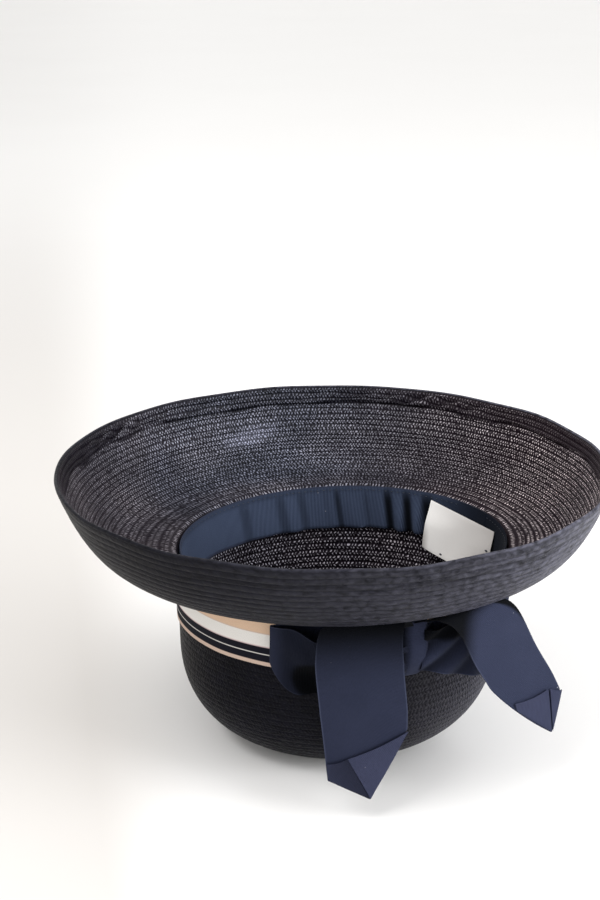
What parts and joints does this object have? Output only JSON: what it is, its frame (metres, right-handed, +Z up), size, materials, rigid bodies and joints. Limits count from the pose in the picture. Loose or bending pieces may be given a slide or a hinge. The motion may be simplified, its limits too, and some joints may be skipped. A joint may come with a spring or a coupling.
{
  "type": "cloche hat",
  "caption": "Bell-brimmed sewn-straw cloche hat lying on its crown, with a striped ribbon round the crown, an inner band and a wide ribbon bow with hanging ends.",
  "frame": {"origin": "middle of the flat crown tip, on the surface the hat lies on", "axes": "+Z up towards the brim's edge, +X towards the back of the hat, -Y towards the side with the bow"},
  "size_m": [0.32, 0.292, 0.1709],
  "materials": {
    "straw": "navy-black plaited straw sewn in rows, with a slight gloss on the fibres",
    "navy_ribbon": "matt navy grosgrain ribbon with fine cross ribs",
    "striped_ribbon": "woven ribbon with sand, white and navy stripes along it",
    "satin": "white satin, bare"
  },
  "bodies": {
    "root": {"crown": "straw", "brim": "straw", "hat_band": "striped_ribbon", "sweatband": "navy_ribbon", "label": "satin", "bow_loop_front": "navy_ribbon", "bow_loop_back": "navy_ribbon", "bow_knot": "navy_ribbon", "bow_tail_front": "navy_ribbon", "bow_tail_back": "navy_ribbon"}
  },
  "joints": []
}
